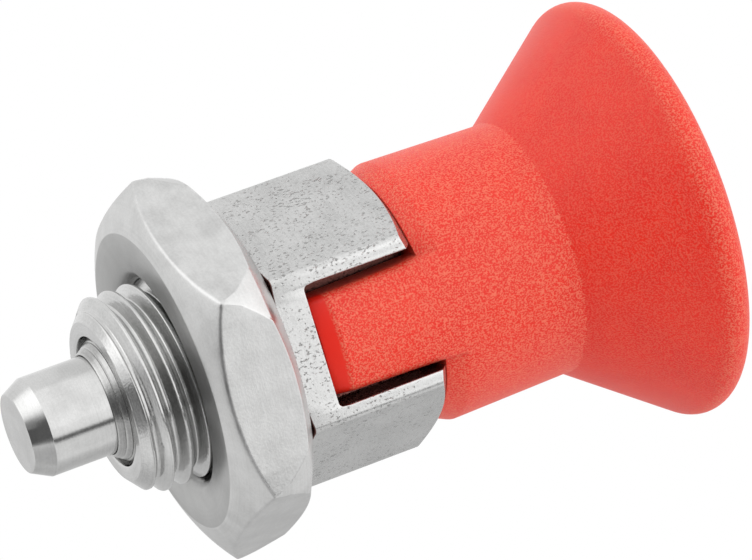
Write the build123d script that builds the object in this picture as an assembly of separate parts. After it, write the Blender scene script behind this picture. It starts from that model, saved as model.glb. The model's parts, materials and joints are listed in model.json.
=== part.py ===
from build123d import *
import os
from math import cos, pi, radians, sin, tan

os.makedirs("parts", exist_ok=True)

# Indexing plunger: a spring holds a hardened pin out of a threaded nose, and a mushroom grip pulls
# the pin back. Two tongues on the grip run in slots in the body's flats. Lifted clear and turned a
# quarter, they stand on the body's end face and keep the pin in. All sizes are in millimetres.
# +Z runs along the pin towards the grip. The origin is on the axis, at the nut's clamping face.

# Thread M10 x 1 of the body, drawn as its crest cylinder
thread_dia = 10.0
thread_nose_reach = 3.0  # nose face to the nut's clamping face
nose_chamfer = 1.0
valley_width = 0.6  # one valley of the thread, cut as a ring where the nut begins
valley_depth = 0.5
undercut_dia = 8.6  # tool run-out between the thread and the hexagon
undercut_len = 1.0

# Hexagon of the body
hex_flats = 13.0
hex_len = 7.75
hex_corner_r = 0.4
hex_bevel_angle = 30.0
hex_front_bevel_inset = 0.05  # the bevel starts this far inside the flats
hex_end_bevel_inset = 0.22

# Slots in two opposite flats
slot_width = 6.1
slot_len = 6.0
slot_corner_r = 0.25
core_thick = 8.0  # material left between the two slots

# Web that closes the spring chamber, and the stem that runs through it
web_thick = 1.0
stem_dia = 3.0

# Guide bush, pressed into the nose end of the chamber, with a cone that stands out of the nose
bush_len = 4.4
bush_reach = 0.5  # beyond the nose face
bush_wall = 0.78
bush_cone_len = 1.05  # so the cone starts inside the chamber
bush_land = 0.06  # flat ring left around the bore
bush_chamfer = 0.15

# Locking pin
pin_dia = 4.98
pin_reach = 4.1  # tip beyond the bush
pin_tip_dia = 4.0
pin_tip_len = 0.95
grease_inset = 0.1  # grease groove, just inside the bush when the pin is out
grease_len = 0.7
grease_depth = 0.2
collar_thick = 1.1
stem_neck_dia = 2.3  # ring groove that holds the grip on the stem
stem_neck_len = 1.6
stem_head_len = 2.0
stem_depth_in_grip = 10.2  # grip's end face to the stem's end
stem_chamfer = 0.3

# Pressure spring, closed ends
wire_dia = 0.45
wire_sides = 6  # the wire's section is drawn with this many flats
spring_mean_dia = 4.9
spring_turns = 4.5
closed_turn = 0.9  # share of a turn that lies flat at each end

# Mushroom grip
sleeve_gap = 0.1  # grip's end face to the body's end face
sleeve_end_dia = 13.3
sleeve_neck_dia = 12.98
sleeve_len = 7.45
flare_angle = 36.6  # from the axis
rim_dia = 21.54
rim_r = 1.0
tongue_floor_gap = 0.1
tongue_core_gap = 0.25  # to the core between the slots
tongue_tip_width = 4.85
tongue_root_width = 5.2
tongue_corner_r = 0.35
end_bevel_len = 1.0  # around the sleeve's end and along each tongue's front
end_bevel_depth = 0.45
grip_turn = 1.5  # where the grip stands in the tongues' free play, in degrees

# Lock nut
nut_flats = 17.0
nut_thick = 4.4
nut_corner_r = 0.7
nut_bevel_angle = 34.0
nut_face_dia = 15.5
nut_mouth_dia = 11.3
nut_turn = 5.8  # how far the nut is turned on the thread, in degrees

# Fits, as radial clearance
pin_fit = 0.03
collar_fit = 0.08
stem_fit = 0.05
nut_fit = 0.04
neck_fit = 0.06
neck_end_gap = 0.05
stem_end_gap = 0.4

# Sizes and heights that follow from the ones above
bush_bore_dia = pin_dia + 2 * pin_fit
chamber_dia = bush_bore_dia + 2 * bush_wall
nose_z = -thread_nose_reach
bush_z = nose_z - bush_reach
hex_z = nut_thick
end_z = hex_z + hex_len
slot_z = end_z - slot_len
web_z = end_z - web_thick
bush_end_z = bush_z + bush_len
collar_end_z = bush_end_z + collar_thick
sleeve_z = end_z + sleeve_gap
neck_z = sleeve_z + sleeve_len
tongue_z = slot_z + tongue_floor_gap
stem_end_z = sleeve_z + stem_depth_in_grip
stem_neck_z = stem_end_z - stem_head_len - stem_neck_len


def turned(*corners):
    """Solid of revolution about Z from (radius, height) corners, closed along the axis."""
    outline = Polyline(*[(r, 0, z) for r, z in corners], close=True)
    return revolve(make_face(outline), Axis.Z)


def bore(dia, z0, z1):
    return Pos(0, 0, (z0 + z1) / 2) * Cylinder(dia / 2, z1 - z0)


def hexagon(flats, corner_r, z0, z1, start_inset, end_inset, angle):
    """Hexagonal prism with rounded corners and a turned bevel on each end, flats facing +Y and -Y."""
    outline = RegularPolygon(flats / 2, 6, major_radius=False)
    outline = fillet(outline.vertices(), corner_r)
    prism = extrude(Pos(0, 0, z0) * outline, z1 - z0)
    outer = flats  # any radius beyond the corners
    start_r = flats / 2 - start_inset
    end_r = flats / 2 - end_inset
    rise = tan(radians(angle))
    z_low = z0 + (outer - start_r) * rise
    z_high = z1 - (outer - end_r) * rise
    low = turned((0, z0), (start_r, z0), (outer, z_low), (outer, z1), (0, z1))
    high = turned((0, z0), (outer, z0), (outer, z_high), (end_r, z1), (0, z1))
    return prism & low & high


# Threaded body: thread, undercut and hexagon in one piece
thread_r = thread_dia / 2
undercut_r = undercut_dia / 2
undercut_z = hex_z - undercut_len
shank = turned(
    (0, nose_z),
    (thread_r - nose_chamfer, nose_z),
    (thread_r, nose_z + nose_chamfer),
    (thread_r, 0),
    (thread_r - valley_depth, valley_width / 2),
    (thread_r, valley_width),
    (thread_r, undercut_z),
    (undercut_r, undercut_z + (thread_r - undercut_r) * tan(radians(30))),
    (undercut_r, hex_z + 1),
    (0, hex_z + 1),
)
hex_block = hexagon(
    hex_flats, hex_corner_r, hex_z, end_z, hex_front_bevel_inset, hex_end_bevel_inset, hex_bevel_angle
)
slot_outline = Pos(0, slot_z + slot_len) * Rectangle(slot_width, 2 * slot_len)
slot_outline = fillet(slot_outline.vertices().group_by(Axis.Y)[0], slot_corner_r)
slot_cutter = Pos(0, -core_thick / 2, 0) * extrude(Plane.XZ * slot_outline, hex_flats)
chamber = bore(chamber_dia, nose_z - 1, web_z)
stem_hole = bore(stem_dia + 2 * stem_fit, web_z - 1, end_z + 1)
threaded_body = shank + hex_block - slot_cutter - Rot(0, 0, 180) * slot_cutter
threaded_body = threaded_body - chamber - stem_hole

# Guide bush
bush_blank = turned(
    (0, bush_z),
    (bush_bore_dia / 2 + bush_land, bush_z),
    (chamber_dia / 2, bush_z + bush_cone_len),
    (chamber_dia / 2, bush_end_z),
    (0, bush_end_z),
)
guide_bush = bush_blank - bore(bush_bore_dia, bush_z - 1, bush_end_z + 1)
bush_rear = guide_bush.edges().group_by(Axis.Z)[-1].sort_by(SortBy.RADIUS)
guide_bush = chamfer(bush_rear[0], bush_chamfer)

# Locking pin: hardened end, collar that the spring pushes on, and stem up into the grip
pin_r = pin_dia / 2
tip_z = bush_z - pin_reach
grease_z = bush_z + grease_inset
collar_r = chamber_dia / 2 - collar_fit
stem_r = stem_dia / 2
neck_r = stem_neck_dia / 2
locking_pin = turned(
    (0, tip_z),
    (pin_tip_dia / 2, tip_z),
    (pin_r, tip_z + pin_tip_len),
    (pin_r, grease_z),
    (pin_r - grease_depth, grease_z + grease_depth / 2),
    (pin_r - grease_depth, grease_z + grease_len - grease_depth / 2),
    (pin_r, grease_z + grease_len),
    (pin_r, bush_end_z),
    (collar_r, bush_end_z),
    (collar_r, collar_end_z),
    (stem_r, collar_end_z),
    (stem_r, stem_neck_z),
    (neck_r, stem_neck_z),
    (neck_r, stem_neck_z + stem_neck_len),
    (stem_r, stem_neck_z + stem_neck_len),
    (stem_r, stem_end_z - stem_chamfer),
    (stem_r - stem_chamfer, stem_end_z),
    (0, stem_end_z),
)

# Spring: one wire whose pitch eases from flat end turns into the open coils between them
coil_r = spring_mean_dia / 2
wire_r = wire_dia / 2
spring_low = collar_end_z + wire_r
spring_high = web_z - wire_r
end_rise = wire_dia * 1.04  # a flat turn still has to climb over its own start
open_turns = spring_turns - 2 * closed_turn


def coil_height(turn):
    """Height of the wire's centre: a gentle climb in the end turns and a smooth steep one between."""
    inner = min(max((turn - closed_turn) / open_turns, 0), 1)
    ease = inner - sin(2 * pi * inner) / (2 * pi)
    steady = end_rise * turn
    return spring_low + steady + (spring_high - spring_low - end_rise * spring_turns) * ease


steps = round(spring_turns * 8)
coil_points = []
for i in range(steps + 1):
    turn = spring_turns * i / steps
    angle = 2 * pi * turn
    coil_points.append((coil_r * cos(angle), coil_r * sin(angle), coil_height(turn)))
wire_path = Spline(*coil_points)
wire_start = Plane(wire_path @ 0, z_dir=wire_path % 0)
spring = sweep(wire_start * RegularPolygon(wire_r, wire_sides), path=wire_path, is_frenet=True)

# Mushroom grip: tapered sleeve, straight flare, rounded rim and flat top, all from one outline
end_r = sleeve_end_dia / 2
grip_neck_r = sleeve_neck_dia / 2
flare = radians(flare_angle)
rim_centre_r = rim_dia / 2 - rim_r
flare_end_r = rim_centre_r + rim_r * cos(flare)
flare_end_z = neck_z + (flare_end_r - grip_neck_r) / tan(flare)
rim_centre_z = flare_end_z + rim_r * sin(flare)
top_z = rim_centre_z + rim_r


def on_rim(angle):
    """Point of the rim's arc, at an angle up from level."""
    return rim_centre_r + rim_r * cos(angle), rim_centre_z + rim_r * sin(angle)


lower = Polyline(
    (0, sleeve_z),
    (end_r - end_bevel_depth, sleeve_z),
    (end_r, sleeve_z + end_bevel_len),
    (grip_neck_r, neck_z),
    on_rim(-flare),
)
rim_arc = ThreePointArc(on_rim(-flare), on_rim(pi / 4 - flare / 2), on_rim(pi / 2))
upper = Polyline(on_rim(pi / 2), (0, top_z), (0, sleeve_z))
mushroom_grip = revolve(Plane.XZ * make_face([lower, rim_arc, upper]), Axis.Z)

# Tongues: flat inside, round outside, tapered in width, with a beveled front edge
tip_half = tongue_tip_width / 2
root_half = tongue_root_width / 2
bevel_end_z = sleeve_z + end_bevel_len
root_z = bevel_end_z + 1  # the tongue runs on through the sleeve's bevel into the sleeve
tongue_outline = make_face(
    Polyline(
        (-tip_half, tongue_z),
        (tip_half, tongue_z),
        (root_half, sleeve_z),
        (root_half, root_z),
        (-root_half, root_z),
        (-root_half, sleeve_z),
        close=True,
    )
)
tongue_outline = fillet(tongue_outline.vertices().group_by(Axis.Y)[0], tongue_corner_r)
tongue_blank = extrude(Plane.XZ * tongue_outline, hex_flats)
tongue_blank = Pos(0, -(core_thick / 2 + tongue_core_gap), 0) * tongue_blank
tongue_envelope = turned(
    (0, tongue_z),
    (end_r - end_bevel_depth, tongue_z),
    (end_r, tongue_z + end_bevel_len),
    (end_r, bevel_end_z),
    (end_r - end_bevel_depth, root_z),
    (0, root_z),
)
tongue = tongue_blank & tongue_envelope
mushroom_grip = mushroom_grip + tongue + Rot(0, 0, 180) * tongue

# Socket for the stem, with a bead that stands in the stem's ring groove
socket_r = stem_r + stem_fit
bead_r = neck_r + neck_fit
bead_z = stem_neck_z + neck_end_gap
bead_end_z = stem_neck_z + stem_neck_len - neck_end_gap
socket = turned(
    (0, sleeve_z - 1),
    (socket_r, sleeve_z - 1),
    (socket_r, bead_z),
    (bead_r, bead_z),
    (bead_r, bead_end_z),
    (socket_r, bead_end_z),
    (socket_r, stem_end_z + stem_end_gap),
    (0, stem_end_z + stem_end_gap),
)
mushroom_grip = Rot(0, 0, grip_turn) * (mushroom_grip - socket)

# Lock nut, tight against the hexagon
nut_inset = (nut_flats - nut_face_dia) / 2
lock_nut = hexagon(nut_flats, nut_corner_r, 0, nut_thick, nut_inset, nut_inset, nut_bevel_angle)
nut_bore_r = thread_r + nut_fit
nut_mouth_r = nut_mouth_dia / 2
mouth_len = nut_mouth_r - nut_bore_r
nut_hole = turned(
    (0, 0),
    (nut_mouth_r, 0),
    (nut_bore_r, mouth_len),
    (nut_bore_r, nut_thick - mouth_len),
    (nut_mouth_r, nut_thick),
    (0, nut_thick),
)
lock_nut = Rot(0, 0, nut_turn) * (lock_nut - nut_hole)

pieces = {
    "threaded_body": threaded_body,
    "guide_bush": guide_bush,
    "locking_pin": locking_pin,
    "spring": spring,
    "mushroom_grip": mushroom_grip,
    "lock_nut": lock_nut,
}
for name, piece in pieces.items():
    export_step(piece, f"parts/{name}.step")
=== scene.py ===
import json
import math

import bmesh
import bpy
import numpy as np
from mathutils import Matrix, Vector


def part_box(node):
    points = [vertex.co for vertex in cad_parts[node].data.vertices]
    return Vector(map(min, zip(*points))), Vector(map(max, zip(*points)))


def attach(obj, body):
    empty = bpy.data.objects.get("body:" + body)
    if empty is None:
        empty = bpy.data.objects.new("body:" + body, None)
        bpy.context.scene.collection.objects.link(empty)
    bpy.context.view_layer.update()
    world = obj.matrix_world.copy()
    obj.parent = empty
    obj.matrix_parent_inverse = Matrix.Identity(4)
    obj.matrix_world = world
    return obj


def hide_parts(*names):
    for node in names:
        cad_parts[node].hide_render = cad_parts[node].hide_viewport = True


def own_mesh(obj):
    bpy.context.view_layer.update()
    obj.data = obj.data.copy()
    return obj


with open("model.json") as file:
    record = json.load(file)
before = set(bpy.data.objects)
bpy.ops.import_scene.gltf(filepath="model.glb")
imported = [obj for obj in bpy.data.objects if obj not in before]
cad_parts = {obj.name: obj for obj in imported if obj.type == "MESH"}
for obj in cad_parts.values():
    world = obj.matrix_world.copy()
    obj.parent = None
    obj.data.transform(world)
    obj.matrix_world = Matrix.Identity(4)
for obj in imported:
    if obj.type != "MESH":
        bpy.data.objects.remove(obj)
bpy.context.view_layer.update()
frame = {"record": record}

mm = 0.001
mounts = {mount["name"]: mount for mount in frame["record"]["mounts"]}


def nodeHeights(node):
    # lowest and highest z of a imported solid, in mm
    low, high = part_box(node)
    return low.z / mm, high.z / mm


noseZ, bodyEndZ = nodeHeights("threaded_body")
nutLowZ, nutHighZ = nodeHeights("lock_nut")
pinTipZ, stemEndZ = nodeHeights("locking_pin")
bushLowZ, bushHighZ = nodeHeights("guide_bush")
tongueZ, gripTopZ = nodeHeights("mushroom_grip")
threadR = mounts["thread"]["dims"]["r_mm"]
pinR = mounts["pin_end"]["dims"]["r_mm"]
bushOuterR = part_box("guide_bush")[1].x / mm
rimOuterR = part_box("mushroom_grip")[1].x / mm
bodyFlats = 2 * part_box("threaded_body")[1].y / mm

meshing = {  # lengths in mm and angles in degrees, as in all that follows
    "mergeWithin": 0.0005,
    "slimmest": 0.0002,  # slimmer faces are dropped
    "bevelSegments": 3,
    "bevelFrom": 20,  # edges with a smaller turn stay as they are
    "flatWeight": 80,
    "arcSteps": 5,
    "arcReach": 0.45,  # the most of the way to the next corner that a rounding takes
    "hair": 1e-9,  # mm or radians, what counts as nothing
}


def arcCorner(before, corner, after, radius, steps):
    # rounded corner: P(s) = A + R (sin s) d + R (1 - cos s) n, from the cut point A along the way in d,
    # turning to the side n, for s from 0 to the turn
    wayIn = (corner - before) / np.linalg.norm(corner - before)
    wayOut = (after - corner) / np.linalg.norm(after - corner)
    turn = math.acos(np.clip(wayIn @ wayOut, -1, 1))
    if turn < meshing["hair"]:
        return corner[None]
    side = wayOut - wayIn * (wayIn @ wayOut)
    side = side / np.linalg.norm(side)
    start = corner - wayIn * radius * math.tan(turn / 2)
    s = np.linspace(0, turn, steps + 1)[:, None]
    return start + radius * (np.sin(s) * wayIn + (1 - np.cos(s)) * side)


def roundedProfile(corners, steps=4):
    # (radius, height, rounding) corners to an outline of straight lines and tangent arcs
    points = np.array([c[:2] for c in corners], float)
    parts = [points[:1]]
    for i in range(1, len(corners) - 1):
        if corners[i][2] > 0:
            parts.append(arcCorner(points[i - 1], points[i], points[i + 1], corners[i][2], steps))
        else:
            parts.append(points[i : i + 1])
    parts.append(points[-1:])
    return np.concatenate(parts)


def wholeTurn(count):
    # angles evenly round a circle
    return np.arange(count) * 2 * np.pi / count


def ring(radius, angles, height):
    # circle: x = r cos a, y = r sin a, z = h for the angles given
    return np.stack([radius * np.cos(angles), radius * np.sin(angles), height + 0 * angles], axis=-1)


def spin(profile, columns):
    # turned surface: one ring for every profile point (r, h)
    return ring(profile[:, 0, None], wholeTurn(columns), profile[:, 1, None])


def gridFaces(rows, columns, wrapRows, wrapColumns):
    # four corner numbers for each cell of a rows x columns grid
    number = np.arange(rows * columns).reshape(rows, columns)
    if wrapRows:
        number = np.concatenate([number, number[:1]])
    if wrapColumns:
        number = np.concatenate([number, number[:, :1]], axis=1)
    cells = [number[:-1, :-1], number[:-1, 1:], number[1:, 1:], number[1:, :-1]]
    return np.stack(cells, axis=-1).reshape(-1, 4)


def gridMesh(name, points, faces):
    # points in metres and four-cornered faces become a mesh whose doubles are merged and faces point out
    mesh = bpy.data.meshes.new(name)
    mesh.vertices.add(len(points))
    mesh.vertices.foreach_set("co", points.ravel())
    mesh.loops.add(faces.size)
    mesh.loops.foreach_set("vertex_index", faces.ravel())
    mesh.polygons.add(len(faces))
    mesh.polygons.foreach_set("loop_start", np.arange(0, faces.size, 4))
    mesh.update(calc_edges=True)
    shape = bmesh.new()
    shape.from_mesh(mesh)
    bmesh.ops.remove_doubles(shape, verts=shape.verts, dist=meshing["mergeWithin"] * mm)
    bmesh.ops.dissolve_degenerate(shape, edges=shape.edges, dist=meshing["slimmest"] * mm)
    bmesh.ops.recalc_face_normals(shape, faces=shape.faces)
    shape.to_mesh(mesh)
    shape.free()
    mesh.shade_smooth()
    return mesh


def addObject(name, data):
    item = bpy.data.objects.new(name, data)
    bpy.context.scene.collection.objects.link(item)
    return item


def addPiece(
    name, grid, body, node, wrapRows=False, wrapColumns=True, turn=0, edgeRound=0, flat=False
):
    # a grid of points in mm becomes a closed piece that rides on a body and stands for a solid; turn is
    # in degrees about the axis
    faces = gridFaces(*grid.shape[:2], wrapRows, wrapColumns)
    mesh = gridMesh(name, grid.reshape(-1, 3) * mm, faces)
    mesh.transform(Matrix.Rotation(math.radians(turn), 4, "Z"))
    piece = addObject(name, mesh)
    if edgeRound:
        bevel = piece.modifiers.new("edgeRound", "BEVEL")
        bevel.width = edgeRound * mm
        bevel.segments = meshing["bevelSegments"]
        bevel.limit_method = "ANGLE"
        bevel.angle_limit = math.radians(meshing["bevelFrom"])
        bevel.use_clamp_overlap = False
        bevel.miter_outer = "MITER_ARC"
    if edgeRound or flat:
        weighted = piece.modifiers.new("flatFaces", "WEIGHTED_NORMAL")
        weighted.weight = meshing["flatWeight"]
    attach(piece, body)
    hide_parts(node)
    return piece


pin = {
    "columns": 192,
    "tipR": 2.0,
    "tipLength": 0.95,
    "edge": 0.07,
    "softEdge": 0.05,
    "fineEdge": 0.02,
    "grooveStart": 0.1,  # above the bush's front
    "grooveLength": 0.7,
    "grooveDepth": 0.2,
    "grooveNear": 0.05,  # a row this near keeps the groove's edge crisp
    "collarR": 3.22,
    "collarLength": 1.1,
    "stemR": 1.5,
    "neckR": 1.15,
    "neckLength": 1.6,
    "headLength": 2.0,
    "stemChamfer": 0.3,
}


def lockingPin():
    # turned outline: chamfered tip, grease groove, collar, stem, and the ring groove that holds the grip
    tipR, stemR, neckR, collarR = (pin[key] for key in ("tipR", "stemR", "neckR", "collarR"))
    chamfer = pin["stemChamfer"]
    tipEnd = pinTipZ + pin["tipLength"]
    groove = bushLowZ + pin["grooveStart"]
    grooveEnd = groove + pin["grooveLength"]
    slope = pin["grooveDepth"] / 2
    grooveR = pinR - pin["grooveDepth"]
    collar = bushHighZ
    collarEnd = collar + pin["collarLength"]
    neck = stemEndZ - pin["headLength"] - pin["neckLength"]
    neckEnd = stemEndZ - pin["headLength"]
    edge, soft, fine = pin["edge"], pin["softEdge"], pin["fineEdge"]
    corners = [
        (0, pinTipZ, 0),
        (tipR - 2 * edge, pinTipZ, 0),
        (tipR, pinTipZ, edge),
        (pinR, tipEnd, edge),
        (pinR, tipEnd + 2 * edge, 0),
        (pinR, groove - pin["grooveNear"], 0),
        (pinR, groove, fine),
        (grooveR, groove + slope, soft),
        (grooveR, grooveEnd - slope, soft),
        (pinR, grooveEnd, fine),
        (pinR, collar, 0),
        (collarR, collar, soft),
        (collarR, collarEnd, soft),
        (stemR, collarEnd, 0),
        (stemR, neck, fine),
        (neckR, neck, 0),
        (neckR, neckEnd, 0),
        (stemR, neckEnd, fine),
        (stemR, stemEndZ - chamfer, fine),
        (stemR - chamfer, stemEndZ, fine),
        (0, stemEndZ, 0),
    ]
    grid = spin(roundedProfile(corners), pin["columns"])
    return addPiece("lockingPin", grid, "plunger", "locking_pin")


bush = {
    "columns": 192,
    "bore": 2.52,
    "land": 0.06,
    "mouth": 0.03,
    "edge": 0.03,
    "fineEdge": 0.02,
    "coneLength": 1.05,
    "rearBevel": 0.15,
    "seam": (1.0, 1.01),  # where the outline starts and ends, inside the bore
    "lines": [0.33, 0.6],  # turned lines round the cone, as shares of its length
    "lineWidth": 0.09,
    "lineDepth": 0.05,
    "lineEdge": 0.012,
}


def guideBush():
    # turned ring whose front is a cone, r(z) = land + slope z, less a shallow dip at each turned line
    bore, coneLength, edge = bush["bore"], bush["coneLength"], bush["edge"]
    land = bore + bush["land"]
    slope = (bushOuterR - land) / coneLength
    cone = [(bore, bushLowZ + bush["mouth"], bush["fineEdge"]), (land, bushLowZ, edge)]
    for share in bush["lines"]:
        middle, half = share * coneLength, bush["lineWidth"] / 2
        for offset, sink in ((-half, 0), (0, bush["lineDepth"]), (half, 0)):
            radius = land + slope * (middle + offset) - sink
            cone.append((radius, bushLowZ + middle + offset, bush["lineEdge"]))
    rear = bush["rearBevel"]
    corners = [
        (bore, bushLowZ + bush["seam"][0], 0),
        *cone,
        (bushOuterR, bushLowZ + coneLength, edge),
        (bushOuterR, bushHighZ, edge),
        (bore + rear, bushHighZ, edge),
        (bore, bushHighZ - rear, edge),
        (bore, bushLowZ + bush["seam"][1], 0),
    ]
    grid = spin(roundedProfile(corners), bush["columns"])
    return addPiece("guideBush", grid, "housing", "guide_bush", wrapRows=True)


shank = {
    "columns": 288,
    "pitch": 1.0,
    "spareTurns": (3, 2),  # below the nose and past the hexagon
    "crest": 0.13,
    "flankAngle": 30,
    "grooveDepth": 0.6,
    "crestEdge": 0.04,
    "rootEdge": 0.1,
    "cornerSteps": 6,
    "flankRows": 4,
    "flankStart": 0.06,  # the rows' distance from the crest and from the root
    "flankStop": 0.08,
    "firstCrest": 0.369,  # middle of a crest above the nose face, on the x axis
    "noseR": 4.04,
    "noseSlope": 1.16,  # growth of the nose cone's radius along the axis
    "noseEdge": 0.03,
    "faceRows": 4,
    "noseCut": 0.5,  # a ring of points lies at this height above the nose
    "blend": 0.01,  # rounding where the thread meets the cone
    "undercutR": 4.3,
    "undercutLength": 1.0,
    "undercutAngle": 60,
    "mouthEdge": 0.04,
}


def threadSection():
    # one pitch of the thread as (height, depth): half a narrow flat crest, sloped flank, rounded root,
    # and back
    half, pitch, depth = shank["crest"] / 2, shank["pitch"], shank["grooveDepth"]
    foot = half + depth * math.tan(math.radians(shank["flankAngle"]))
    corners = [
        (0, 0, 0),
        (half, 0, shank["crestEdge"]),
        (foot, depth, shank["rootEdge"]),
        (pitch - foot, depth, shank["rootEdge"]),
        (pitch - half, 0, shank["crestEdge"]),
        (pitch, 0, 0),
    ]
    section = roundedProfile(corners, shank["cornerSteps"])
    # more rows along the flanks, so that a cut across the thread stays crisp
    flank = np.linspace(half + shank["flankStart"], foot - shank["flankStop"], shank["flankRows"])
    heights = np.sort(np.concatenate([section[:-1, 0], flank, pitch - flank]))
    return np.stack([heights, np.interp(heights, *section.T)], axis=-1)


def threadedShank():
    # r(a, s) = least of crest radius - depth(s), the nose cone and the undercut, at z = s + pitch a / 360;
    # the turns past both ends are pressed flat by the clip
    section = threadSection()
    pitch = shank["pitch"]
    hexZ = nutHighZ
    below, past = shank["spareTurns"]
    turns = np.arange(-below, math.ceil((hexZ - noseZ) / pitch) + past)
    s = (turns[:, None] * pitch + section[:, 0]).ravel()
    depth = np.tile(section[:, 1], len(turns))[:, None]
    share = np.linspace(0, 1, shank["columns"] + 1)
    a = share * 2 * np.pi
    z = noseZ + shank["firstCrest"] + s[:, None] + pitch * share
    undercutZ = hexZ - shank["undercutLength"]
    for cut in (noseZ + shank["noseCut"], undercutZ):
        nearest = np.abs(z - cut).argmin(axis=0)
        z[nearest, np.arange(len(a))] = cut
    z = np.clip(z, noseZ, hexZ)
    cone = shank["noseR"] + shank["noseSlope"] * (z - noseZ)
    fall = (z - undercutZ) * math.tan(math.radians(shank["undercutAngle"]))
    undercut = threadR - np.clip(fall, 0, threadR - shank["undercutR"])
    # the soft least of thread and cone leaves a rounded edge where the thread begins
    soft = shank["blend"]
    thread = threadR - depth
    least = -soft * np.logaddexp(-thread / soft, -cone / soft)
    radius = np.minimum(least, undercut)
    edge = shank["mouthEdge"]
    face = np.linspace(bushOuterR + edge, shank["noseR"] - shank["noseEdge"], shank["faceRows"])
    inside = [
        ring(bushOuterR, a, hexZ),
        ring(bushOuterR, a, noseZ + 3 * edge),
        ring(bushOuterR, a, noseZ + edge),
        ring(bushOuterR + 0.3 * edge, a, noseZ + 0.3 * edge),
        *[ring(r, a, noseZ) for r in face],
    ]
    grid = np.concatenate([np.stack(inside), ring(radius, a, z)])
    return addPiece(
        "threadedShank", grid, "housing", "threaded_body", wrapRows=True, wrapColumns=False
    )


def hexSpots(flats, cornerRound, flatSpots, cornerSteps):
    # hexagon walked flat by flat: n (flats / 2) + t s along each flat, then the arc to the next one,
    # n the flat's normal and t the way along it, for the places s given by flatSpots
    apothem = flats / 2
    half = (apothem - cornerRound) * math.tan(math.radians(30))
    points = []
    for k in range(6):
        angle = math.radians(30 + 60 * k)
        normal = np.array([math.cos(angle), math.sin(angle)])
        along = np.array([-normal[1], normal[0]])
        spots = flatSpots(k, half)
        points.append(normal * apothem + along * spots[:, None])
        turn = angle + np.linspace(0, math.radians(60), cornerSteps + 1)[1:-1]
        centre = normal * (apothem - cornerRound) + along * half
        points.append(centre + cornerRound * np.stack([np.cos(turn), np.sin(turn)], axis=-1))
    return np.concatenate(points)


block = {
    "cornerRound": 0.4,
    "slotWidth": 6.1,
    "slotLength": 6.0,
    "slotCorner": 0.25,
    "core": 8.0,
    "frontInset": 0.05,
    "endInset": 0.22,
    "frontAngle": 12,
    "endAngle": 30,
    "web": 1.0,
    "stemHole": 1.55,
    "edgeRound": 0.06,
    "slotSteps": 8,
    "slotArcSteps": 7,
    "besideSteps": 5,
    "flatSteps": 20,
    "cornerSteps": 8,
}


def slotColumns(halfWidth, corner, flatSteps, arcSteps):
    # places across a slot from wall to wall: even along its floor, then w - c + c sin a up each corner's arc
    arc = np.sin(np.linspace(0, np.pi / 2, arcSteps))[1:] * corner
    places = np.concatenate([np.linspace(0, halfWidth - corner, flatSteps), halfWidth - corner + arc])
    return np.concatenate([-places[:0:-1], places])


def slotFloor(x, halfWidth, corner, floorZ):
    # floor height across a slot: level, then a quarter arc up to each wall, z = floor + c - sqrt(c^2 - u^2),
    # with u how far x is into the arc
    into = np.maximum(np.abs(x) - (halfWidth - corner), 0)
    return floorZ + corner - np.sqrt(np.maximum(corner**2 - into**2, 0))


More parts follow.
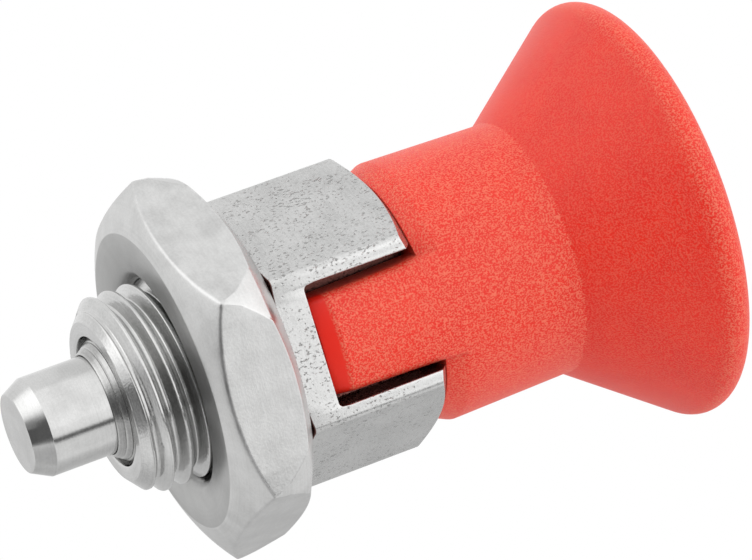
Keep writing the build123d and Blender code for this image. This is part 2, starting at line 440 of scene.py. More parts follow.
def hexBlock():
    # rings of the hexagon's outline: stem hole, chamber, front face, front bevel, flats, end bevel and end
    # face; columns inside a slot turn in to its floor and the core instead
    apothem = bodyFlats / 2
    half = block["slotWidth"] / 2
    corner = block["slotCorner"]
    slotZ = bodyEndZ - block["slotLength"]
    hexZ = nutHighZ
    inSlot = slotColumns(half, corner, block["slotSteps"], block["slotArcSteps"])

    def spots(k, length):
        if k not in (1, 4):
            return np.linspace(-length, length, block["flatSteps"])
        beside = np.linspace(half, length, block["besideSteps"])
        return np.concatenate([-beside[::-1], inSlot, beside])

    x, y = hexSpots(bodyFlats, block["cornerRound"], spots, block["cornerSteps"]).T
    hair = meshing["hair"]
    onSlotFlat = np.abs(np.abs(y) - apothem) < hair
    inside = onSlotFlat & (np.abs(x) <= half + hair)
    # the wall's own column comes twice, once for the skin and once for the slot, which has slot columns on
    # both sides
    twin = inside & (np.abs(np.abs(x) - half) < hair)
    amid = np.roll(inside, 1) & np.roll(inside, -1)
    skin = ~inside | (twin & ~amid)
    reach = np.hypot(x, y)
    side = np.sign(x)
    sign = np.sign(y)
    share = np.arctan2(y, np.abs(x)) / math.atan2(apothem, half)  # 0 halfway between the slots, 1 beside one
    endR = apothem - block["endInset"]
    startR = apothem - block["frontInset"]
    frontRise = math.tan(math.radians(block["frontAngle"]))
    endRise = math.tan(math.radians(block["endAngle"]))
    coreHalf = block["core"] / 2
    endAngle = share * math.acos(half / endR)
    floorZ = slotFloor(x, half, corner, slotZ)
    wallFoot = slotZ + corner

    def pick(onSkin, onSlot):
        return np.where(skin[:, None], onSkin, onSlot)

    def put(px, py, pz):
        return np.stack([px + 0 * x, py + 0 * x, pz + 0 * x], axis=-1)

    coreTop = put(x, sign * coreHalf, bodyEndZ)
    lane = pick(put(side * half, share * coreHalf, bodyEndZ), coreTop)
    holeAngle = np.arctan2(lane[:, 1], lane[:, 0])
    skinAngle = np.arctan2(y, x)
    rows = [
        ring(block["stemHole"], holeAngle, bodyEndZ),
        ring(block["stemHole"], holeAngle, bodyEndZ - block["web"]),
        ring(bushOuterR, holeAngle, bodyEndZ - block["web"]),
        ring(bushOuterR, holeAngle, hexZ),
        ring(startR, skinAngle, hexZ),
        put(x, y, hexZ + (reach - startR) * frontRise),
        pick(put(x, y, wallFoot), put(x, y, floorZ)),
        pick(put(x, y, wallFoot), put(x, sign * coreHalf, floorZ)),
        pick(put(x, y, bodyEndZ - (reach - endR) * endRise), coreTop),
        pick(put(side * endR * np.cos(endAngle), endR * np.sin(endAngle), bodyEndZ), coreTop),
        lane,
    ]
    return addPiece(
        "hexBlock", np.stack(rows), "housing", "threaded_body",
        wrapRows=True, edgeRound=block["edgeRound"],
    )


nut = {
    "flats": 17,
    "cornerRound": 0.3,
    "faceR": 7.5,
    "frontSlope": 0.317,  # how far the front falls back for each mm outward, and more further out
    "frontCrown": 0.103,
    "rearSteps": [(7.54, 0.0), (9.1, 0.9), (9.62, 2.22), (9.9, 3.6)],  # radius, and how far it lies back
    "boreR": 5.04,
    "mouthR": 5.65,
    "turn": 5.8,
    "frontEdge": 0.16,
    "rearEdge": 0.07,
    "crisp": 0.025,  # rows this near to each side of a ring keep its edge crisp
    "frontRows": 6,
    "frontStop": 0.3,  # the last of them lies this far in from the flats
    "flatSteps": 40,
    "cornerSteps": 8,
}


def edgeArc(before, corner, after, width):
    # rounds each corner: B(t) = (1 - t)^2 A + 2 t (1 - t) C + t^2 E, with A and E the given width away from
    # C, or less where the next corner is near
    wayIn, wayOut = before - corner, after - corner
    lengthIn = np.linalg.norm(wayIn, axis=1, keepdims=True) + meshing["hair"]
    lengthOut = np.linalg.norm(wayOut, axis=1, keepdims=True) + meshing["hair"]
    width = np.minimum(width, meshing["arcReach"] * np.minimum(lengthIn, lengthOut))
    start = corner + width * wayIn / lengthIn
    end = corner + width * wayOut / lengthOut
    shares = np.linspace(0, 1, meshing["arcSteps"])
    return [(1 - t) ** 2 * start + 2 * t * (1 - t) * corner + t**2 * end for t in shares]


def lockNut():
    # bore, mouth and face rings, then a front bevel that falls back by a u + b u^2, u = r - face radius, the
    # flats, and a rear bevel in straight steps, each kept to the hexagon's own radius
    faceR, rearEdge = nut["faceR"], nut["rearEdge"]

    def spots(k, length):
        return np.linspace(-length, length, nut["flatSteps"])

    edge = hexSpots(nut["flats"], nut["cornerRound"], spots, nut["cornerSteps"])
    reach = np.hypot(*edge.T)
    angle = np.arctan2(edge[:, 1], edge[:, 0])
    stepR, stepDrop = np.array(nut["rearSteps"]).T

    def front(r):
        u = r - faceR
        return ring(r, angle, nutLowZ + nut["frontSlope"] * u + nut["frontCrown"] * u**2)

    def rear(r):
        return ring(r, angle, nutHighZ - np.interp(r, stepR, stepDrop))

    mouth = nut["mouthR"] - nut["boreR"]
    near = nut["crisp"]
    inner = reach - nut["frontStop"]
    bevel = [faceR + near + k * (inner - faceR) for k in np.linspace(0, 1, nut["frontRows"])]
    kinks = [r + side for r in stepR[2::-1] for side in (near, -near)]
    rows = [
        ring(nut["boreR"], angle, nutLowZ + mouth),
        ring(nut["mouthR"], angle, nutLowZ),
        ring(faceR - near, angle, nutLowZ),
        *[front(r) for r in bevel],
        *edgeArc(front(inner), front(reach), rear(reach), nut["frontEdge"]),
        *edgeArc(front(reach), rear(reach), rear(reach - rearEdge), rearEdge),
        *[rear(np.minimum(r, reach - rearEdge)) for r in kinks],
        ring(nut["mouthR"], angle, nutHighZ),
        ring(nut["boreR"], angle, nutHighZ - mouth),
    ]
    return addPiece(
        "lockNut", np.stack(rows), "nut", "lock_nut", wrapRows=True, turn=nut["turn"], flat=True
    )


grip = {
    "gap": 0.1,
    "sleeveR": 6.65,
    "neckR": 6.49,
    "sleeveLength": 7.45,
    "flareAngle": 36.6,
    "rimRound": 1.0,
    "bevelLength": 1.0,
    "bevelDepth": 0.45,
    "tongueInner": 4.25,
    "tipHalf": 2.425,
    "rootHalf": 2.6,
    "tongueCorner": 0.35,
    "tongueEdge": 0.32,  # rounding along the tongue's two long edges
    "frontEdge": 0.08,
    "crisp": 0.03,  # rows this near to each side of a ring keep its edge crisp
    "socketR": 1.55,
    "beadR": 1.21,
    "beadPlay": 0.05,
    "socketSpare": 0.4,  # beyond the stem's end
    "turn": 1.5,
    "tongueSteps": 9,
    "cheekSteps": 56,
    "sleeveSteps": 6,
    "flareRows": [0.008, 0.1, 0.3, 0.5, 0.7, 0.9],  # shares of the flare's line
    "rimSteps": 17,
    "topSteps": 6,
}


def gripColumns():
    # one tongue from wall to wall, then the plain sleeve round to the next tongue, twice
    half, steps = grip["tipHalf"], grip["tongueSteps"]
    t = slotColumns(half, grip["tongueCorner"], steps, steps) / half
    cheek = np.linspace(-1, 1, grip["cheekSteps"])
    across = np.concatenate([t, cheek, t, cheek])
    counts = [len(t), len(cheek)] * 2
    onTongue = np.repeat([True, False] * 2, counts)
    return across, onTongue, np.repeat(np.radians([-90, 0, 90, 180]), counts)


def mushroomGrip():
    # rings from the stem socket out: tongue and end face, front bevel, sleeve, then the flare's straight
    # line and the rim's arc, r = rim + R cos s, z = rim + R sin s, up to the flat top
    across, onTongue, facing = gripColumns()
    sleeveZ = bodyEndZ + grip["gap"]
    neckZ = sleeveZ + grip["sleeveLength"]
    flare = math.radians(grip["flareAngle"])
    rimRound, bevelDepth, bevelLength = (grip[key] for key in ("rimRound", "bevelDepth", "bevelLength"))
    rimR, rimZ = rimOuterR - rimRound, gripTopZ - rimRound
    sleeveR, bevelR = grip["sleeveR"], grip["sleeveR"] - bevelDepth
    bevelZ, stripZ = sleeveZ + bevelLength, tongueZ + bevelLength
    tip, root = grip["tipHalf"], grip["rootHalf"]
    near = grip["crisp"]

    def halfWidth(z):
        return root + (tip - root) * np.clip((sleeveZ - z) / (sleeveZ - tongueZ), 0, 1)

    def turned(side, out, z):
        # side runs to the right of the way a column faces, out away from the axis
        cos, sin = np.cos(facing), np.sin(facing)
        return np.stack([out * cos - side * sin, out * sin + side * cos, z + 0 * side], axis=-1)

    def onSkin(radius, z):
        # tongue columns keep their share of the tongue's width, the others share out the angle between
        width = across * halfWidth(z)
        edgeAngle = np.arcsin(root / radius)
        tongueAngle = np.arcsin(np.clip(width / radius, -1, 1))
        angle = np.where(onTongue, tongueAngle, across * (np.pi / 2 - edgeAngle))
        return turned(radius * np.sin(angle), radius * np.cos(angle), z)

    def pick(tonguePoint, cheekPoint):
        return np.where(onTongue[:, None], tonguePoint, cheekPoint)

    lift = slotFloor(across * tip, tip, grip["tongueCorner"], 0)
    fall = np.where(onTongue, slotFloor(across * tip, tip, grip["tongueEdge"], 0), 0)
    frontZ = tongueZ + lift
    frontR = bevelR + lift * bevelDepth / bevelLength - fall
    inner = grip["tongueInner"]
    lane = pick(
        turned(across * root, inner + 0 * across, sleeveZ),
        turned(across * inner, root + 0 * across, sleeveZ),
    )
    laneAngle = np.arctan2(lane[:, 1], lane[:, 0])
    endRing = onSkin(bevelR, sleeveZ)
    stemNeck = stemEndZ - pin["headLength"]
    socketEnd = stemEndZ + grip["socketSpare"]
    beadHigh = stemNeck - grip["beadPlay"]
    beadLow = stemNeck - pin["neckLength"] + grip["beadPlay"]
    socketR, beadR = grip["socketR"], grip["beadR"]
    heights = (socketEnd, socketEnd, beadHigh, beadHigh, beadLow, beadLow, sleeveZ)
    radii = (0, socketR, socketR, beadR, beadR, socketR, socketR)
    socket = [ring(r, laneAngle, z) for r, z in zip(radii, heights)]
    frontInner = turned(across * halfWidth(frontZ), inner + 0 * across, frontZ)
    frontArc = edgeArc(frontInner, onSkin(frontR, frontZ), onSkin(sleeveR - fall, stripZ), grip["frontEdge"])
    strip = near * bevelDepth / bevelLength
    tongue = [
        lane,
        pick(lane, onSkin(bevelR - near, sleeveZ)),
        pick(frontInner, endRing),
        *[pick(row, endRing) for row in frontArc],
        pick(onSkin(sleeveR - strip - fall, stripZ - near), endRing),
        pick(onSkin(sleeveR - fall, stripZ + near), endRing),
        pick(onSkin(sleeveR - fall, sleeveZ), endRing),
    ]
    plain = np.linspace(bevelZ, neckZ - near, grip["sleeveSteps"])[1:]
    sleeve = []
    for z in (sleeveZ + near, bevelZ - near, bevelZ + near, *plain):
        below = max(bevelZ - z, 0) / bevelLength
        skin = sleeveR + (grip["neckR"] - sleeveR) * max(z - bevelZ, 0) / (neckZ - bevelZ)
        sleeve.append(onSkin(skin - below * np.where(onTongue, fall, bevelDepth), z))
    neck = np.array([grip["neckR"], neckZ])
    flareEnd = np.array([rimR, rimZ]) + rimRound * np.array([math.cos(flare), -math.sin(flare)])
    flareRows = neck + (flareEnd - neck) * np.array(grip["flareRows"])[:, None]
    arc = np.linspace(-flare, np.pi / 2, grip["rimSteps"])
    rimRows = np.array([rimR, rimZ]) + rimRound * np.stack([np.cos(arc), np.sin(arc)], axis=-1)
    topR = np.linspace(rimR, 0, grip["topSteps"])[1:]
    topRows = np.stack([topR, gripTopZ + 0 * topR], axis=-1)
    upper = np.concatenate([flareRows, rimRows, topRows])
    head = [ring(r, np.arctan2(sleeve[-1][:, 1], sleeve[-1][:, 0]), z) for r, z in upper]
    grid = np.stack(socket + tongue + sleeve + head)
    return addPiece(
        "mushroomGrip", grid, "grip", "mushroom_grip", turn=grip["turn"], flat=True
    )


coil = {
    "wireR": 0.225,
    "meanR": 2.45,
    "turns": 4.5,
    "closedTurn": 0.9,  # lies flat at each end
    "endRise": 0.468,  # climb of a turn that lies flat, a little over the wire's thickness
    "steps": 360,
    "sides": 12,
}


def pressureSpring():
    # wire round a helix: centre (m cos t, m sin t, h(t)), where h climbs by the end turns' rise all along
    # and by the rest times u - sin(2 pi u) / 2 pi between them; wire circle w (n cos s + b sin s), closed
    # at both ends
    seatLow = bushHighZ + pin["collarLength"]
    seatHigh = bodyEndZ - block["web"]
    low, high = seatLow + coil["wireR"], seatHigh - coil["wireR"]
    turn = np.linspace(0, coil["turns"], coil["steps"])
    u = np.clip((turn - coil["closedTurn"]) / (coil["turns"] - 2 * coil["closedTurn"]), 0, 1)
    ease = u - np.sin(2 * np.pi * u) / (2 * np.pi)
    climb = high - low - coil["endRise"] * coil["turns"]
    centre = ring(coil["meanR"], 2 * np.pi * turn, low + coil["endRise"] * turn + climb * ease)
    along = np.gradient(centre, axis=0)
    along /= np.linalg.norm(along, axis=1, keepdims=True)
    out = ring(1, 2 * np.pi * turn, 0)
    side = np.cross(along, out)
    side /= np.linalg.norm(side, axis=1, keepdims=True)
    s = wholeTurn(coil["sides"])[:, None]
    circle = out[:, None] * np.cos(s) + side[:, None] * np.sin(s)
    tube = centre[:, None] + coil["wireR"] * circle
    ends = [np.repeat(centre[k : k + 1, None], coil["sides"], axis=1) for k in (0, -1)]
    grid = np.concatenate([ends[0], tube, ends[1]])
    piece = addPiece("pressureSpring", grid, "housing", "spring")
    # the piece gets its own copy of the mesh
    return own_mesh(piece)


def nodeAdder(tree):
    # add(kind, settings, input=value or socket, ...) makes a node; i0, i1 ... name inputs by number
    def add(kind, setting=None, **inputs):
        node = tree.nodes.new(kind)
        for key, value in (setting or {}).items():
            setattr(node, key, value)
        for key, value in inputs.items():
            socket = node.inputs[int(key[1:]) if key[1:].isdigit() else key.replace("_", " ")]
            if isinstance(value, bpy.types.NodeSocket):
                tree.links.new(value, socket)
            else:
                socket.default_value = value
        return node

    return add


def maths(add, operation, first, second=0.0, third=0.0):
    return add("ShaderNodeMath", {"operation": operation}, i0=first, i1=second, i2=third).outputs["Value"]


def times(add, first, second):
    return maths(add, "MULTIPLY", first, second)


def plus(add, first, second):
    return maths(add, "ADD", first, second)


def less(add, first, second):
    # first less second
    return maths(add, "SUBTRACT", first, second)


def smooth(add, value, low, high):
    # 0 up to low, 1 from high on, an S curve between
    curve = {"interpolation_type": "SMOOTHSTEP"}
    return add("ShaderNodeMapRange", curve, Value=value, i1=low, i2=high).outputs["Result"]


def between(add, value, low, high):
    # low where value is 0, high where it is 1, a straight line between
    return add("ShaderNodeMapRange", Value=value, To_Min=low, To_Max=high).outputs["Result"]


def dot(add, first, second):
    node = add("ShaderNodeVectorMath", {"operation": "DOT_PRODUCT"}, i0=first, i1=second)
    return node.outputs["Value"]


def split(add, vector):
    # a vector's three numbers
    parts = add("ShaderNodeSeparateXYZ", Vector=vector).outputs
    return parts["X"], parts["Y"], parts["Z"]


def fromAxis(add, x, y):
    # distance from the axis, the root of x^2 + y^2
    squares = plus(add, times(add, x, x), times(add, y, y))
    return maths(add, "SQRT", squares)


def newGroup(effect, output, **inputs):
    # node group named for the effect, with its values in and one value out
    group = bpy.data.node_groups.new(effect.__name__, "ShaderNodeTree")
    for socket, value in inputs.items():
        item = group.interface.new_socket(socket, in_out="INPUT", socket_type="NodeSocketFloat")
        item.default_value = value
    group.interface.new_socket(output, in_out="OUTPUT", socket_type="NodeSocketFloat")
    add = nodeAdder(group)
    value = effect(add, add("NodeGroupInput").outputs)
    add("NodeGroupOutput", **{output: value})
    return group


def place(add, size, stretch=1.0):
    # object coordinates counted in steps of size mm, and of size times stretch along the axis
    way = add("ShaderNodeTexCoord").outputs["Object"]
    step = maths(add, "DIVIDE", 1 / mm, size)
    axial = maths(add, "DIVIDE", step, stretch)
    scale = add("ShaderNodeCombineXYZ", X=step, Y=step, Z=axial).outputs["Vector"]
    return add("ShaderNodeVectorMath", {"operation": "MULTIPLY"}, i0=way, i1=scale).outputs["Vector"]


def noise(add, vector, detail, roughness):
    settings = {"Scale": 1.0, "Detail": detail, "Roughness": roughness}
    return add("ShaderNodeTexNoise", Vector=vector, **settings).outputs["Fac"]


effects = {  # detail and roughness of each noise, and the ends of each mask's smooth step
    "cloudNoise": (4.0, 0.55),
    "cloudEnds": (0.3, 0.7),
    "grainNoise": (2.0, 0.5),
    "marksNoise": (3.0, 0.6),
    "scarNoise": (3.0, 0.6),
    "scarEnds": (-0.03, 0.05),
    "pitRadius": (0.1, 0.28),  # the smallest, and how much larger the largest is, in cells
    "pitEnds": (-0.02, 0.12),
    "edgeSamples": 6,
    "edgeEnds": (0.99, 0.86),  # cosine of the normal's lean
}


def mottling(add, given):
    # soft clouds of the size given, 0 to 1
    clouds = noise(add, place(add, given["Size"]), *effects["cloudNoise"])
    return smooth(add, clouds, *effects["cloudEnds"])


def fineGrain(add, given):
    # fine bumps, drawn out along the axis by Stretch
    return noise(add, place(add, given["Size"], given["Stretch"]), *effects["grainNoise"])


def turningMarks(add, given):
    # marks of a turning tool: noise over (radius, height), broken up a little round the axis
    x, y, z = split(add, place(add, given["Size"]))
    about = times(add, maths(add, "ARCTAN2", y, x), given["Break"])
    unrolled = add("ShaderNodeCombineXYZ", X=fromAxis(add, x, y), Y=about, Z=z).outputs["Vector"]
    return noise(add, unrolled, *effects["marksNoise"])


def pits(add, given):
    # round pits, one to a cell of the size given: 1 within r of the cell's point, r its random radius,
    # in the share of cells that have one
    way = place(add, given["Size"])
    cells = add("ShaderNodeTexVoronoi", {"feature": "F1"}, Vector=way, Scale=1.0, Randomness=1.0).outputs
    chance = add("ShaderNodeSeparateColor", Color=cells["Color"]).outputs
    smallest, larger = effects["pitRadius"]
    radius = maths(add, "MULTIPLY_ADD", chance["Green"], larger, smallest)
    inside = less(add, radius, cells["Distance"])
    kept = maths(add, "LESS_THAN", chance["Red"], given["Share"])
    return times(add, smooth(add, inside, *effects["pitEnds"]), kept)


def scars(add, given):
    # ragged small scars drawn out along the axis: 1 where fine noise falls under the level given
    ragged = noise(add, place(add, given["Size"], given["Stretch"]), *effects["scarNoise"])
    return smooth(add, less(add, given["Level"], ragged), *effects["scarEnds"])


def edgeLight(add, given):
    # 1 along edges: how far the normal smoothed over Radius mm leans from the surface's own
    radius = times(add, given["Radius"], mm)
    soft = add("ShaderNodeBevel", {"samples": effects["edgeSamples"]}, Radius=radius).outputs["Normal"]
    own = add("ShaderNodeNewGeometry").outputs["Normal"]
    return smooth(add, dot(add, soft, own), *effects["edgeEnds"])


groups = {
    "mottling": newGroup(mottling, "Value", Size=1.0),
    "grain": newGroup(fineGrain, "Height", Size=0.1, Stretch=1.0),
    "marks": newGroup(turningMarks, "Height", Size=0.1, Break=0.3),
    "pits": newGroup(pits, "Mask", Size=0.3, Share=0.5),
    "scars": newGroup(scars, "Mask", Size=0.15, Stretch=1.5, Level=0.4),
    "edge": newGroup(edgeLight, "Mask", Radius=0.3),
}


def newMaterial(name, **settings):
    # settings are constants on the shader's own sockets
    material = bpy.data.materials.new(name)
    material.use_nodes = True
    tree = material.node_tree
    shader = tree.nodes["Principled BSDF"]
    for socket, value in settings.items():
        shader.inputs[socket.replace("_", " ")].default_value = value
    add = nodeAdder(tree)

    def use(effect, **values):
        return add("ShaderNodeGroup", {"node_tree": groups[effect]}, **values).outputs[0]

    return material, tree, shader, add, use


def mixColour(add, share, first, second):
    # first where share is 0, second where it is 1
    node = add("ShaderNodeMix", {"data_type": "RGBA"}, i0=share)
    for socket, value in ((node.inputs[6], first), (node.inputs[7], second)):
        if isinstance(value, bpy.types.NodeSocket):
            node.id_data.links.new(value, socket)
        else:
            socket.default_value = (*value, 1)
    return node.outputs[2]


def bump(add, height, depth, below=None):
    # raises the surface by height times depth mm, on top of the bumps below
    node = add("ShaderNodeBump", Strength=1.0, Distance=depth * mm, Height=height)
    if below is not None:
        node.id_data.links.new(below, node.inputs["Normal"])
    return node.outputs["Normal"]


masks = {  # ends of each smooth step, in mm from the edge that it follows
    "slotAcross": (0.04, 0.02),
    "slotDeep": (-0.02, -0.35),
    "frontBevel": (0.06, 0.02),
    "nutRing": (0.03, -0.03),
}


def maskStep(add, value, edge, name):
    # smooth step across an edge, between the two distances of the mask named
    return smooth(add, value, *(edge + distance for distance in masks[name]))


def dress(tree, shader, colour, roughness, normal):
    # what changes over the surface goes into the shader
    for socket, value in (("Base Color", colour), ("Roughness", roughness), ("Normal", normal)):
        tree.links.new(value, shader.inputs[socket])


def paintedSlotShade(add):
    # painted shade and painted red reflection: 1 inside the block's slots, |x| < half their width and |y| <
    # apothem, and on its front bevel, where z = front + (r - R) tan b; 0 on the other faces
    x, y, z = split(add, place(add, 1.0))
    apothem = bodyFlats / 2
    across = maskStep(add, maths(add, "ABSOLUTE", x), block["slotWidth"] / 2, "slotAcross")
    deep = maskStep(add, maths(add, "ABSOLUTE", y), apothem, "slotDeep")
    out = less(add, fromAxis(add, x, y), apothem - block["frontInset"])
    bevelZ = times(add, out, math.tan(math.radians(block["frontAngle"])))
    above = less(add, less(add, z, nutHighZ), bevelZ)
    return maths(add, "MAXIMUM", times(add, across, deep), maskStep(add, above, 0, "frontBevel"))


def nutFrontRing(add):
    # 1 on the nut's flat front ring and in its bore, r < face radius
    x, y = split(add, place(add, 1.0))[:2]
    return maskStep(add, fromAxis(add, x, y), nut["faceR"], "nutRing")


def steel(name, look):
    # colour goes from stain to bright with mottling and grain, gets a painted highlight along edges, and
    # darkens in scars and pits; painted shade with a painted red reflection darkens the block's slots and
    # front bevel, and the nut's flat front ring is darker; roughness = low + (high - low) x the same mix;
    # grain, turning marks, scars and pits bump it
    material, tree, shader, add, use = newMaterial(name, Metallic=1.0)
    clouds = use("mottling", Size=look["mottleSize"])
    grain = use("grain", Size=look["grainSize"], Stretch=look["grainStretch"])
    marks = use("marks", Size=look["marksSize"], Break=look["marksBreak"])
    edge = use("edge", Radius=look["edgeRadius"])
    fine = smooth(add, times(add, plus(add, grain, marks), 0.5), *look["fineEnds"])
    coarse = times(add, clouds, 1 - look["fineShare"])
    mix = plus(add, coarse, times(add, fine, look["fineShare"]))
    colour = mixColour(add, mix, look["stain"], look["bright"])
    # painted highlight: lighter colour along edges
    colour = mixColour(add, times(add, edge, look["edgeHighlightShare"]), colour, look["edgeHighlightColour"])
    normal = bump(add, grain, look["grainDepth"])
    normal = bump(add, marks, look["marksDepth"], normal)
    if "pitSize" in look:
        patches = use("mottling", Size=look["pitPatch"])
        holes = use("pits", Size=look["pitSize"], Share=look["pitShare"])
        level = plus(add, times(add, patches, look["scarPatchy"]), look["scarLevel"])
        ragged = use("scars", Size=look["scarSize"], Stretch=look["scarStretch"], Level=level)
        hollows = maths(add, "MAXIMUM", times(add, holes, patches), ragged)
        colour = mixColour(add, times(add, hollows, look["pitDark"]), colour, look["pitColour"])
        normal = bump(add, less(add, 1.0, hollows), look["pitDepth"], normal)
        # painted shade with a painted red reflection of the grip, in the block's slots and on its front
        # bevel
        colour = mixColour(add, paintedSlotShade(add), colour, look["paintedShadeColour"])
    # darker steel on the nut's flat front ring and in its bore
    if "ringColour" in look:
        colour = mixColour(add, nutFrontRing(add), colour, look["ringColour"])
    dress(tree, shader, colour, between(add, mix, *look["roughness"]), normal)
    return material


plainLook = {
    "bright": (0.64, 0.64, 0.635),
    "stain": (0.50, 0.50, 0.495),
    "fineShare": 0.5,
    "fineEnds": (0.38, 0.62),
    "mottleSize": 2.0,
    "grainSize": 0.12,
    "grainStretch": 1.0,
    "grainDepth": 0.006,
    "marksSize": 0.12,
    "marksBreak": 0.3,
    "marksDepth": 0.004,
    "edgeRadius": 0.2,
    "edgeHighlightShare": 0.5,
    # painted highlight colour along edges
    "edgeHighlightColour": (0.74, 0.74, 0.73),
    "roughness": (0.22, 0.34),
}
looks = {
    "lockingPin": {
        **plainLook,
        "fineShare": 0.25,
        "marksSize": 0.08,
        "marksDepth": 0.002,
        "grainDepth": 0.001,
        "roughness": (0.1, 0.16),
    },
    "guideBush": {
        **plainLook,
        "bright": (0.50, 0.50, 0.495),
        "stain": (0.36, 0.36, 0.355),
        "marksSize": 0.08,
        "marksDepth": 0.008,
        "roughness": (0.18, 0.28),
    },
    "threadedShank": {**plainLook, "marksSize": 0.1, "roughness": (0.12, 0.22)},
    "hexBlock": {
        **plainLook,
        "marksDepth": 0.0,
        "scarSize": 0.13,
        "scarStretch": 1.7,
        "scarLevel": 0.325,
        "scarPatchy": 0.085,
        "pitSize": 0.3,
        "pitShare": 0.55,
        "pitPatch": 3.2,
        "pitDark": 0.55,
        "pitColour": (0.16, 0.155, 0.15),
        "pitDepth": 0.03,
        # painted shade and painted red reflection for the slots and the front bevel
        "paintedShadeColour": (0.17, 0.07, 0.06),
    },
    "lockNut": {
        **plainLook,
        "bright": (0.68, 0.68, 0.675),
        "stain": (0.53, 0.53, 0.525),
        "mottleSize": 1.4,
        "fineShare": 0.35,
        "roughness": (0.28, 0.42),
        "ringColour": (0.41, 0.41, 0.405),
    },
    "pressureSpring": {**plainLook, "bright": (0.45, 0.44, 0.42), "grainStretch": 6.0},
}

plastic = {
    "colour": (0.85, 0.025, 0.010),
    "shade": (0.81, 0.019, 0.009),
    # painted highlight colour for the leather grain's tops
    "grainHighlight": (0.89, 0.23, 0.135),
    "edgeHighlightColour": (0.88, 0.07, 0.04),
    "mottleSize": 2.5,
    "leatherSize": 0.078,
    "leatherStretch": 1.2,
    "leatherEnds": (0.42, 0.62),
    "leatherDepth": 0.014,
    "grainSize": 0.05,
    "grainDepth": 0.006,
    "stripEnds": (-0.3, -0.1),  # the leather grain starts this near to the tongues' front bevels' end
    "grainHighlightShare": 0.69,
    "flareHighlightShare": 0.45,  # what is left of it on the flare
    "flareEnds": (0.0, 0.1),  # from the neck up
    "rimEnds": (-1.9, -1.3),  # and from the flat top down
    "roughness": (0.36, 0.5),
    "specular": 0.4,
    "edgeRadius": 0.25,
    "edgeHighlightShare": 0.25,
}


def redPlastic():
    # colour goes from shade to colour with the mottling, and gets a painted highlight along edges and on the
    # leather grain's tops, less of it on the flare; the leather grain, left out along edges and on the
    # tongues' front bevels, and the fine grain bump it; roughness = low + (high - low) x leather grain
    material, tree, shader, add, use = newMaterial("redPlastic", Specular_IOR_Level=plastic["specular"])
    clouds = use("mottling", Size=plastic["mottleSize"])
    leather = use("grain", Size=plastic["leatherSize"], Stretch=plastic["leatherStretch"])
    leather = smooth(add, leather, *plastic["leatherEnds"])
    grain = use("grain", Size=plastic["grainSize"], Stretch=1.0)
    edge = use("edge", Radius=plastic["edgeRadius"])
    height = split(add, add("ShaderNodeTexCoord").outputs["Object"])[2]

    def over(z, ends):
        # 0 below a height in mm, 1 over it
        return smooth(add, height, *((z + distance) * mm for distance in plastic[ends]))

    pastBevel = over(tongueZ + grip["bevelLength"], "stripEnds")
    grained = times(add, less(add, 1.0, edge), pastBevel)
    neckZ = bodyEndZ + grip["gap"] + grip["sleeveLength"]
    # less painted highlight on the flare, where the gloss would see dark
    onFlare = less(add, over(neckZ, "flareEnds"), over(gripTopZ, "rimEnds"))
    share = less(add, 1.0, times(add, onFlare, 1 - plastic["flareHighlightShare"]))
    share = times(add, share, plastic["grainHighlightShare"])
    tops = times(add, leather, grained)
    # painted highlight: lighter colour along edges
    paintedEdgeHighlight = times(add, edge, plastic["edgeHighlightShare"])
    colour = mixColour(add, clouds, plastic["shade"], plastic["colour"])
    # painted highlight on the leather grain's tops
    colour = mixColour(add, times(add, tops, share), colour, plastic["grainHighlight"])
    colour = mixColour(add, paintedEdgeHighlight, colour, plastic["edgeHighlightColour"])
    normal = bump(add, tops, plastic["leatherDepth"])
    normal = bump(add, grain, plastic["grainDepth"], normal)
    dress(tree, shader, colour, between(add, leather, *plastic["roughness"]), normal)
    return material


view = {
    "lens": 244.03,
    "sensor": 36.0,
    "rise": 20.056,  # how steeply the axis climbs to the right
    "tilt": 18.617,  # how far the grip's end leans away
    "turn": 189.6,  # of the part about its axis
    "right": -13.430,  # place of the bush's front on the axis, from the camera
    "down": 5.997,
    "ahead": 244.013,
    "clipStart": 0.01,
}


def cameraAxes():
    # rows are the camera's right, down and ahead in the part's x, y and z
    rise, tilt, turn = (math.radians(view[k]) for k in ("rise", "tilt", "turn"))
    axis = np.array([math.cos(tilt) * math.cos(rise), -math.cos(tilt) * math.sin(rise), math.sin(tilt)])
    across = np.array([math.sin(rise), math.cos(rise), 0.0])
    toward = np.cross(across, axis)
    xAxis = -across * math.cos(turn) + toward * math.sin(turn)
    yAxis = across * math.sin(turn) + toward * math.cos(turn)
    return np.column_stack([xAxis, yAxis, axis])


def addCamera():
    # stands at the bush's front less the way from the camera to it
    axes = cameraAxes()
    stand = np.array([0, 0, bushLowZ]) - axes.T @ np.array([view["right"], view["down"], view["ahead"]])
    right, down, ahead = axes
    camera = addObject("camera", bpy.data.cameras.new("camera"))
    camera.data.lens = view["lens"]
    camera.data.sensor_width = view["sensor"]
    camera.data.clip_start = view["clipStart"]
    matrix = np.eye(4)
    matrix[:3] = np.column_stack([right, -down, -ahead, stand * mm])
    camera.matrix_world = Matrix(matrix)
    bpy.context.scene.camera = camera


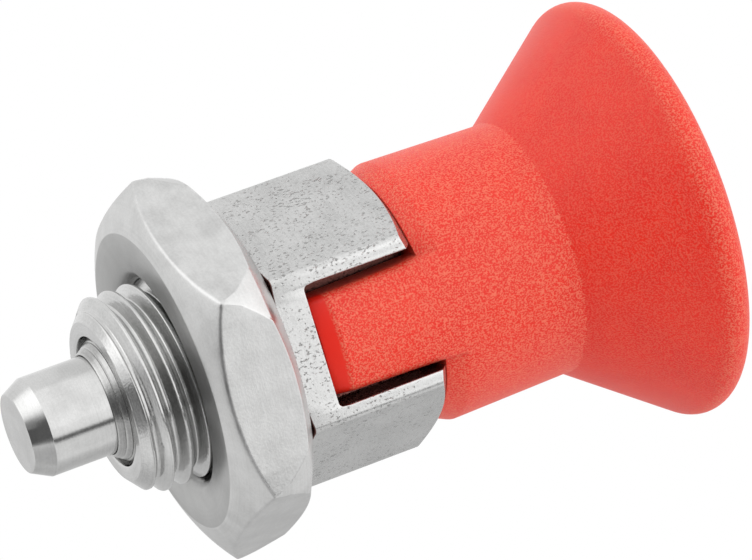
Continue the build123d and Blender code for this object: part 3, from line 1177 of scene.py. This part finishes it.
studio = {  # ways are given as right, up and toward the camera
    "level": 0.95,  # the white tent all round
    "boxes": [  # soft boxes: way, spread and softness in degrees, added light
        ((-0.75, 0.50, 0.42), 24, 16, 0.75),
        ((0.92, 0.25, 0.30), 26, 18, 0.6),
        ((0.34, 0.69, 0.64), 45, 8, 0.3),
        ((0.23, 0.84, 0.49), 1.5, 2, -0.25),
        ((0.0, -0.64, -0.77), 35, 20, -0.3),
        ((0.0, 0.0, 1.0), 16, 14, -0.5),
        ((0.085, -0.96, 0.258), 22, 16, -0.35),
        ((-0.50, -0.25, 0.83), 20, 14, -0.6),
        ((0.67, -0.19, 0.72), 12, 8, 0.22),
        ((-0.97, 0.18, 0.15), 10, 8, 0.3),
    ],
    "gapLevel": 0.85,  # how much of the tent the dark gap in front takes away
    "gapMiddle": -0.47,  # its height, as the sine of the angle above level
    "gapHalf": 0.07,
    "gapWider": 0.2,  # what it gains to the left
    "gapFades": 0.2,  # and how much less dark it is there
    "gapLeft": (0.5, -0.3),  # where left starts, and where it is full
    "gapSoft": 0.05,
    "gapFront": (-0.2, 0.3),  # it fades out towards the back of the tent
    "darkest": 0.14,
    "whiteEnds": (0.12, 0.02),  # mirrors show plain white where the tent is this near to its level
    "fillWay": (0.25, -0.85, 0.45),  # a soft fill lamp from below: its way, distance, size and power
    "fillDistance": 400.0,
    "fillSize": 250.0,
    "fillPower": 0.4,
    "floorZ": -320.0,
    "floorR": 4000.0,
    "floorSides": 96,
    "floorColour": (0.92, 0.92, 0.92),
    "floorRoughness": 0.9,
}


def studioWay(way):
    # a studio way as a unit vector in the part's x, y and z
    right, down, ahead = cameraAxes()
    unit = np.array(way) / np.linalg.norm(way)
    return right * unit[0] - down * unit[1] - ahead * unit[2]


def addWorld():
    # tent light L = level + sum of boxes b s(w . d) - gap s(h - |u - m|) s(f), never under the darkest: w is
    # the way looked, d a box's way, u and f how far w points up and to the front, and s a smooth step; the
    # camera sees plain white, and so do mirror and glass rays wherever L is near the level
    right, down, ahead = cameraAxes()
    world = bpy.data.worlds.new("studio")
    bpy.context.scene.world = world
    world.use_nodes = True
    tree = world.node_tree
    add = nodeAdder(tree)
    background = tree.nodes["Background"]
    background.inputs["Color"].default_value = (1, 1, 1, 1)
    way = add("ShaderNodeTexCoord").outputs["Generated"]

    def toward(axis):
        return dot(add, way, tuple(axis))

    tent = studio["level"]
    for boxWay, spread, soft, light in studio["boxes"]:
        near = toward(studioWay(boxWay))
        low = math.cos(math.radians(spread + soft))
        high = math.cos(math.radians(max(spread - soft, 0)))
        tent = plus(add, times(add, smooth(add, near, low, high), light), tent)
    height, nearness, side = toward(-down), toward(-ahead), toward(right)
    leftward = smooth(add, side, *studio["gapLeft"])
    half = plus(add, times(add, leftward, studio["gapWider"]), studio["gapHalf"])
    dark = less(add, studio["gapLevel"], times(add, leftward, studio["gapFades"]))
    off = maths(add, "ABSOLUTE", less(add, height, studio["gapMiddle"]))
    band = smooth(add, less(add, off, half), studio["gapSoft"], -studio["gapSoft"])
    gap = times(add, band, smooth(add, nearness, *studio["gapFront"]))
    tent = less(add, tent, times(add, gap, dark))
    tent = maths(add, "MAXIMUM", tent, studio["darkest"])
    off = maths(add, "ABSOLUTE", less(add, tent, studio["level"]))
    rays = add("ShaderNodeLightPath").outputs
    mirrored = maths(add, "MAXIMUM", rays["Is Glossy Ray"], rays["Is Transmission Ray"])
    mirrored = times(add, mirrored, smooth(add, off, *studio["whiteEnds"]))
    seen = maths(add, "MAXIMUM", rays["Is Camera Ray"], mirrored)
    shown = add("ShaderNodeMix", {"data_type": "FLOAT"}, i0=seen, i2=tent, i3=1.0)
    tree.links.new(shown.outputs[0], background.inputs["Strength"])


def addFill():
    # square lamp facing the part, left out of mirror reflections
    out = studioWay(studio["fillWay"])
    lamp = addObject("fill", bpy.data.lights.new("fill", "AREA"))
    lamp.data.size = studio["fillSize"] * mm
    lamp.data.energy = studio["fillPower"]
    lamp.visible_glossy = False
    lamp.location = Vector(out * studio["fillDistance"] * mm)
    lamp.rotation_euler = Vector(out).to_track_quat("Z", "Y").to_euler()


def addFloor():
    # plain pale round floor well below the part, seen by the camera only
    points = ring(studio["floorR"], wholeTurn(studio["floorSides"]), studio["floorZ"]) * mm
    mesh = bpy.data.meshes.new("floor")
    mesh.from_pydata(points.tolist(), [], [list(range(len(points)))])
    floor = addObject("floor", mesh)
    colour = (*studio["floorColour"], 1)
    paper = newMaterial("floorPaper", Base_Color=colour, Roughness=studio["floorRoughness"])[0]
    mesh.materials.append(paper)
    floor.visible_glossy = False
    floor.visible_diffuse = False
    floor.visible_shadow = False


makers = (lockingPin, guideBush, threadedShank, hexBlock, lockNut, mushroomGrip, pressureSpring)
pieces = [make() for make in makers]
print("pieces made:", {piece.name: len(piece.data.polygons) for piece in pieces})

for piece in pieces:
    look = looks.get(piece.name)
    piece.data.materials.append(steel(piece.name + "Steel", look) if look else redPlastic())
print("materials set")

addCamera()
addWorld()
addFill()
addFloor()
bpy.context.scene.view_settings.view_transform = "Standard"
print("camera, light and floor set")
